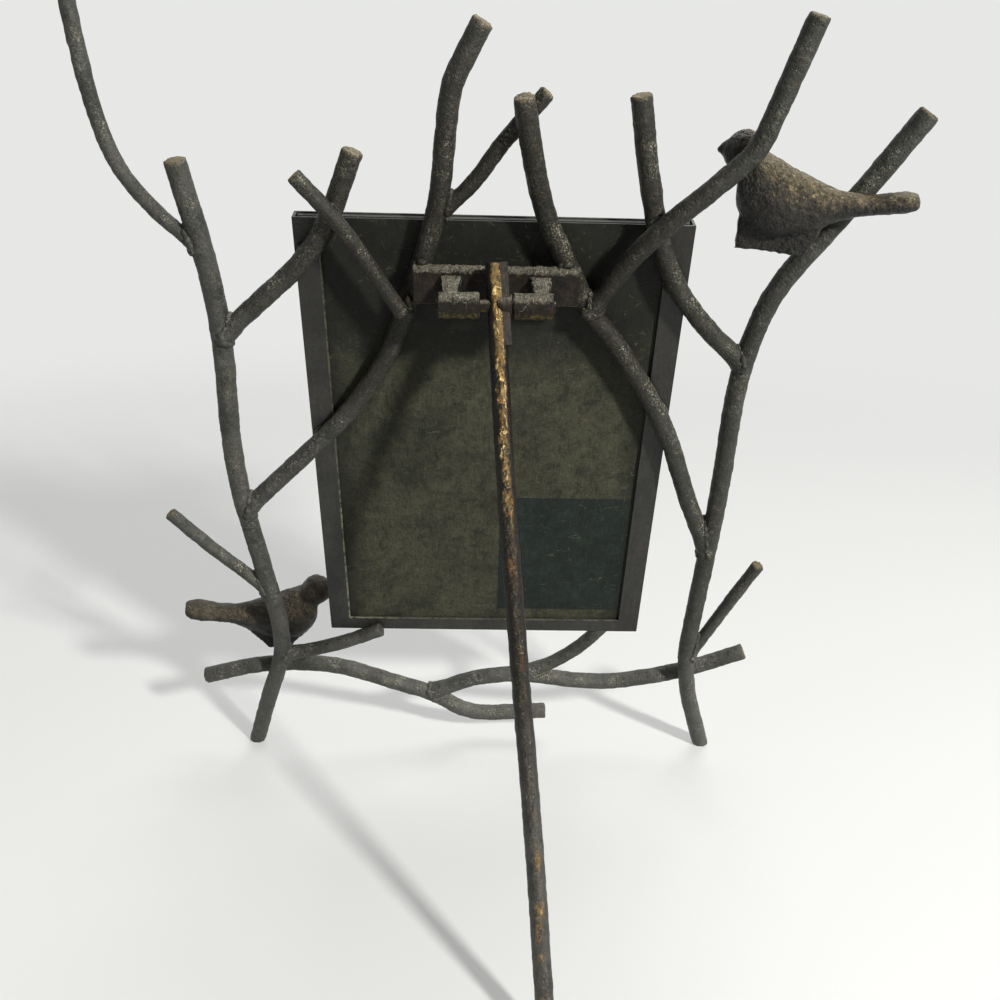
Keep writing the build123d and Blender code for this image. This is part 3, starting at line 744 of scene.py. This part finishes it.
# For each kind of skin: voxel in mm, smoothing steps, then in mm the height of its lumps and
# pits, how far it is drawn in (below 0: how far out), and the size of its lumps and pits
SKIN_KINDS = {
    "rod": (0.7, 0, (0.20, 0.15, -0.10, 4.2, 1.6)),
    "tack": (0.5, 3, (0.55, 0.30, -0.15, 2.4, 1.2)),
    "bead": (0.45, 4, (0.28, 0.12, 0.0, 2.6, 1.2)),
    "bird": (0.6, 5, (0.38, 0.24, -0.10, 4.6, 1.6)),
    "bracket": (0.4, 1, (0.20, 0.16, 0.02, 3.2, 1.0)),
    "leg": (0.5, 1, (0.16, 0.12, 0.02, 4.2, 1.5)),
}


def forge(piece, kind, seed, ends=None):
    """Gives a piece the uneven skin of its kind, and marks its cut ends."""
    voxel, smooth, sizes = SKIN_KINDS[kind]
    remesh(piece, voxel * MM, smooth)
    hammer(piece, seed, *(size * MM for size in sizes))
    if ends is not None:
        mark_cut(piece, ends)
    shade_smooth(piece)
    return piece


# ---------------------------------------------------------------- rods and welds

PLAIN_ENDS = ("support_twig_left", "support_twig_right", "bottom_branch_left")
skins = {}
for number, rod in enumerate(RODS):
    cut_ends = [] if rod in PLAIN_ENDS else flat_ends(rod)
    skins[rod] = forge(solid_copy(rod), "rod", seed=7.3 * number, ends=cut_ends)
    dress(skins[rod], "stand", "dark_iron", rod)

tacks = forge(solid_copy("weld_tacks"), "tack", seed=40, ends=[])
dress(tacks, "stand", "dark_iron", "weld_tacks")

# Pairs of pieces that a weld bead runs between: the bead follows the first one's skin
WELDED = (
    ("left_upper_branch", "left_trunk"), ("left_mid_branch", "left_trunk"),
    ("left_inner_rod", "left_trunk"), ("right_inner_rod", "right_trunk"),
    ("right_upright_rod", "right_trunk"), ("diagonal_branch", "right_inner_rod"),
    ("left_outer_twig", "left_trunk"), ("centre_left_twig", "left_inner_rod"),
    ("right_twig", "right_trunk"), ("bottom_branch_right", "bottom_branch_left"),
    ("support_twig_left", "left_trunk"), ("support_twig_right", "bottom_branch_right"),
    ("left_diagonal_twig", "left_mid_branch"), ("left_diagonal_twig", "left_inner_rod"),
    ("diagonal_branch", "right_upright_rod"), ("centre_left_twig", "right_inner_rod"),
    ("bottom_branch_left", "left_trunk"), ("bottom_branch_right", "right_trunk"),
    ("left_inner_rod", "hinge_plate"), ("right_inner_rod", "hinge_plate"),
)
SEAM_REACH = 0.9 * MM
BEAD_SPACING = 1.1 * MM
BEAD_RADII_MM = (0.8, 1.5)


def surface_of(mesh):
    """A search tree of a mesh's surface."""
    corners = [vertex.co.copy() for vertex in mesh.vertices]
    return BVHTree.FromPolygons(corners, [tuple(face.vertices) for face in mesh.polygons])


def seam_points(skin, surface):
    """Points, spaced apart, halfway between a skin and the surface it nearly touches."""
    kept = []
    for vertex in skin.data.vertices:
        place, normal, _, _ = surface.find_nearest(vertex.co, SEAM_REACH)
        if place is None or (vertex.co - place).dot(normal) < 0:
            continue
        middle = (vertex.co + place) / 2
        if all((middle - other).length > BEAD_SPACING for other in kept):
            kept.append(middle)
    return kept


def weld_beads():
    """Uneven beads of weld laid along the seams between the rods."""
    dice = random.Random(11)
    beads = bmesh.new()
    for first, second in WELDED:
        for place in seam_points(skins[first], surface_of(NODES[second].data)):
            radius = dice.uniform(*BEAD_RADII_MM) * MM
            bmesh.ops.create_icosphere(
                beads, subdivisions=2, radius=radius, matrix=Matrix.Translation(place),
            )
    piece = forge(add_piece("weld_beads", beads), "bead", seed=55, ends=[])
    dress(piece, "stand", "dark_iron")


weld_beads()

# ---------------------------------------------------------------- birds

for number, bird in enumerate(("left_bird", "right_bird")):
    dress(forge(solid_copy(bird), "bird", seed=90 + number), "stand", "bird_bronze", bird)

# ---------------------------------------------------------------- frame

FOLD_SOFTNESS = 0.28 * MM
SLIVER = 0.005 * MM
FLAT_ANGLE = math.radians(1)
FOLD_ANGLE = math.radians(40)


def rail_skin(name):
    """A folded rail with softened corners."""
    shape = node_shape(name)
    bmesh.ops.dissolve_limit(shape, angle_limit=FLAT_ANGLE, verts=shape.verts, edges=shape.edges)
    skin = add_piece(name + "_skin", shape)
    soften = skin.modifiers.new("soften", "BEVEL")
    soften.width = FOLD_SOFTNESS
    soften.segments = 2
    soften.limit_method = "ANGLE"
    soften.angle_limit = FOLD_ANGLE
    apply_modifiers(skin)
    mesh = bmesh.new()
    mesh.from_mesh(skin.data)
    bmesh.ops.remove_doubles(mesh, verts=mesh.verts, dist=SLIVER)
    bmesh.ops.dissolve_degenerate(mesh, edges=mesh.edges, dist=SLIVER)
    mesh.to_mesh(skin.data)
    mesh.free()
    return skin


for rail in RAILS:
    dress(rail_skin(rail), "stand", "frame_steel", rail)

# ---------------------------------------------------------------- hinge and leg

for number, part in enumerate(BRACKET):
    skins[part] = forge(solid_copy(part), "bracket", seed=120 + 5 * number)
    dress(skins[part], "stand", "bracket_iron", part)

BODIES = frame["record"]["behaviour"]["bodies"]
for number, part in enumerate(("leg_rod", "hinge_pin", "leg_hub")):
    body = next(name for name, members in BODIES.items() if part in members)
    look = None if part == "leg_rod" else LOOKS["bracket_iron"]
    skin = forge(solid_copy(part), "leg", seed=160 + 5 * number)
    dress(skin, body, "leg_iron", part, look=look)

# ---------------------------------------------------------------- lint

FIBRE_RADIUS = 0.045 * MM
FIBRE_STEP = 0.4 * MM
FIBRE_LIFT_MM = (0.06, 0.20)
FIBRE_STEPS = (6, 14)
FIBRE_TURN = 0.7
FIBRE_SIDES = 3
UPWARD = Vector((0, 0.35, 1)).normalized()
UPWARD_LEAST = 0.6


def strand(mesh, points):
    """A thin tube through the points, closed at both ends."""
    rings = []
    for index, point in enumerate(points):
        ahead = points[min(index + 1, len(points) - 1)] - points[max(index - 1, 0)]
        ahead.normalize()
        side = ahead.orthogonal().normalized()
        other = ahead.cross(side)
        rings.append([
            mesh.verts.new(point + (side * math.cos(turn) + other * math.sin(turn)) * FIBRE_RADIUS)
            for turn in (math.tau * corner / FIBRE_SIDES for corner in range(FIBRE_SIDES))
        ])
    for first, second in zip(rings, rings[1:]):
        for corner in range(FIBRE_SIDES):
            following = (corner + 1) % FIBRE_SIDES
            mesh.faces.new((first[corner], first[following], second[following], second[corner]))
    mesh.faces.new(rings[0][::-1])
    mesh.faces.new(rings[-1])


def lint_on(name, count, seed):
    """Fine fibres that lie along the upward faces of a piece's skin."""
    dice = random.Random(seed)
    mesh = skins[name].data
    surface = surface_of(mesh)
    upward = [vertex for vertex in mesh.vertices if vertex.normal.dot(UPWARD) > UPWARD_LEAST]
    fibres = bmesh.new()
    for _ in range(count):
        start = dice.choice(upward)
        heading = start.normal.orthogonal()
        heading.rotate(Matrix.Rotation(dice.uniform(0, math.tau), 3, start.normal))
        point = start.co.copy()
        points = []
        for _ in range(dice.randint(*FIBRE_STEPS)):
            place, normal, _, _ = surface.find_nearest(point)
            points.append(place + normal * dice.uniform(*FIBRE_LIFT_MM) * MM)
            heading = (heading - normal * heading.dot(normal)).normalized()
            heading.rotate(Matrix.Rotation(dice.uniform(-FIBRE_TURN, FIBRE_TURN), 3, normal))
            point = place + heading * FIBRE_STEP
        strand(fibres, points)
    bmesh.ops.recalc_face_normals(fibres, faces=fibres.faces)
    piece = add_piece(name + "_lint", fibres)
    shade_smooth(piece)
    dress(piece, "stand", "bracket_iron", look=LINT_LOOK)


lint_on("hinge_plate", count=34, seed=3)
for number, part in enumerate(BRACKET[1:]):
    lint_on(part, count=16, seed=5 + number)

# ---------------------------------------------------------------- sheets and leg strip

for name, slot in (
    ("leg_tab", "tab_steel"), ("glass_pane", "clear_glass"), ("photo_card", "blank_card"),
    ("back_panel", "panel_patina"), ("label_place", "label_patch"),
):
    for place in range(len(NODES[name].material_slots)):
        NODES[name].material_slots[place].material = LOOKS[slot]

# ---------------------------------------------------------------- stage

FLOOR_REACH = 1.6
BACKDROP_BEND = 0.5
BEND_STEPS = 24
BACKDROP_TONE = srgb(231, 232, 230)
CLOTH_SEEN = srgb(244, 245, 243)
CLOTH_UNSEEN = srgb(128, 128, 127)
GLOW_START = 0.30
GLOW_FULL = 1.0
GLOW_LEAST = 0.38


def stage_look():
    """Pale cloth that goes over into an even glow further out, darker for light that bounces."""
    t = Tree("stage_look")
    path = t.node("LightPath").outputs
    seen = t.most(path["Is Camera Ray"], path["Is Glossy Ray"], path["Is Transmission Ray"])
    cloth = t.node("BsdfDiffuse", {
        "Color": t.mix(seen, CLOTH_UNSEEN, CLOTH_SEEN),
        "Normal": t.bump(t.noise(1.4, 3, 0.6), 0.05),
    })
    glow = t.node("Emission", {"Color": BACKDROP_TONE, "Strength": seen})
    away = t.ramp(t.measure("LENGTH", "Object"), GLOW_START, GLOW_FULL)
    both = t.node("MixShader", {"Fac": t.most(away, GLOW_LEAST)})
    t.put(both.inputs[1], cloth.outputs["BSDF"])
    t.put(both.inputs[2], glow.outputs["Emission"])
    return t.surface(both)


def stage_sheet():
    """A pale floor that bends up into a pale wall behind the tree, one even sheet."""
    profile = [(FLOOR_REACH, 0.0)]
    for step in range(BEND_STEPS + 1):
        turn = math.radians(90) * step / BEND_STEPS
        profile.append((
            -FLOOR_REACH - BACKDROP_BEND * math.sin(turn), BACKDROP_BEND * (1 - math.cos(turn)),
        ))
    profile.append((-FLOOR_REACH - BACKDROP_BEND, 2 * FLOOR_REACH))
    points = []
    faces = []
    for index, (depth, height) in enumerate(profile):
        points.append((-2 * FLOOR_REACH, depth, height))
        points.append((2 * FLOOR_REACH, depth, height))
        if index:
            corner = 2 * index
            faces.append((corner - 2, corner - 1, corner + 1, corner))
    mesh = bpy.data.meshes.new("stage_sheet")
    mesh.from_pydata(points, [], faces)
    sheet = bpy.data.objects.new("stage_sheet", mesh)
    bpy.context.scene.collection.objects.link(sheet)
    shade_smooth(sheet)
    mesh.materials.append(stage_look())


stage_sheet()

# ---------------------------------------------------------------- light

TARGET = Vector((0, 0, 0.15))

# Name, direction from the target, distance and width in metres, power in watts, colour
LAMPS = (
    ("key_lamp", (-0.575, 0.682, 0.50), 1.3, 0.13, 21, (1.0, 0.985, 0.95)),
    ("fill_lamp", (0.9, 0.4, 0.5), 1.6, 1.2, 1.2, (1, 1, 1)),
    ("top_lamp", (-0.2, -0.7, 1.0), 1.8, 1.2, 12, (1, 1, 1)),
)
SKY_REACH = 0.6
SKY_LEAST = 0.17
SKY_MOST = 0.50

for name, direction, distance, width, power, colour in LAMPS:
    light = bpy.data.lights.new(name, "AREA")
    light.shape = "DISK"
    light.size = width
    light.energy = power
    light.color = colour
    holder = bpy.data.objects.new(name, light)
    bpy.context.scene.collection.objects.link(holder)
    holder.location = TARGET + Vector(direction).normalized() * distance
    holder.rotation_euler = (TARGET - holder.location).to_track_quat("-Z", "Y").to_euler()

# The sky is dimmer behind the camera than behind the tree
sky = Tree("studio", bpy.data.worlds, "OutputWorld")
strength = sky.node("MapRange", {
    "Value": sky.along("Y", "Generated"), "From Min": SKY_REACH, "From Max": -SKY_REACH,
    "To Min": SKY_LEAST, "To Max": SKY_MOST,
})
bpy.context.scene.world = sky.surface(sky.node("Background", {
    "Color": BACKDROP_TONE, "Strength": strength.outputs["Result"],
}))

# ---------------------------------------------------------------- camera

CAMERA_PLACE = Vector((0.0080, 0.3161, 0.2760))
YAW = math.radians(-1.57)
PITCH = math.radians(21.23)
ROLL = math.radians(1.46)
SENSOR_WIDTH = 36.0
FOCAL_LENGTH = 36.0

forward = Vector((
    math.sin(YAW) * math.cos(PITCH), -math.cos(YAW) * math.cos(PITCH), -math.sin(PITCH),
))
level_right = Vector((-math.cos(YAW), -math.sin(YAW), 0))
level_up = level_right.cross(forward)
right = level_right * math.cos(ROLL) + level_up * math.sin(ROLL)
up = level_up * math.cos(ROLL) - level_right * math.sin(ROLL)
camera_data = bpy.data.cameras.new("camera")
camera_data.sensor_width = SENSOR_WIDTH
camera_data.lens = FOCAL_LENGTH
camera_data.clip_start = 0.01
camera = bpy.data.objects.new("camera", camera_data)
bpy.context.scene.collection.objects.link(camera)
axes = Matrix((right, up, -forward)).transposed()
camera.matrix_world = Matrix.Translation(CAMERA_PLACE) @ axes.to_4x4()
bpy.context.scene.camera = camera
bpy.context.scene.view_settings.view_transform = "Standard"
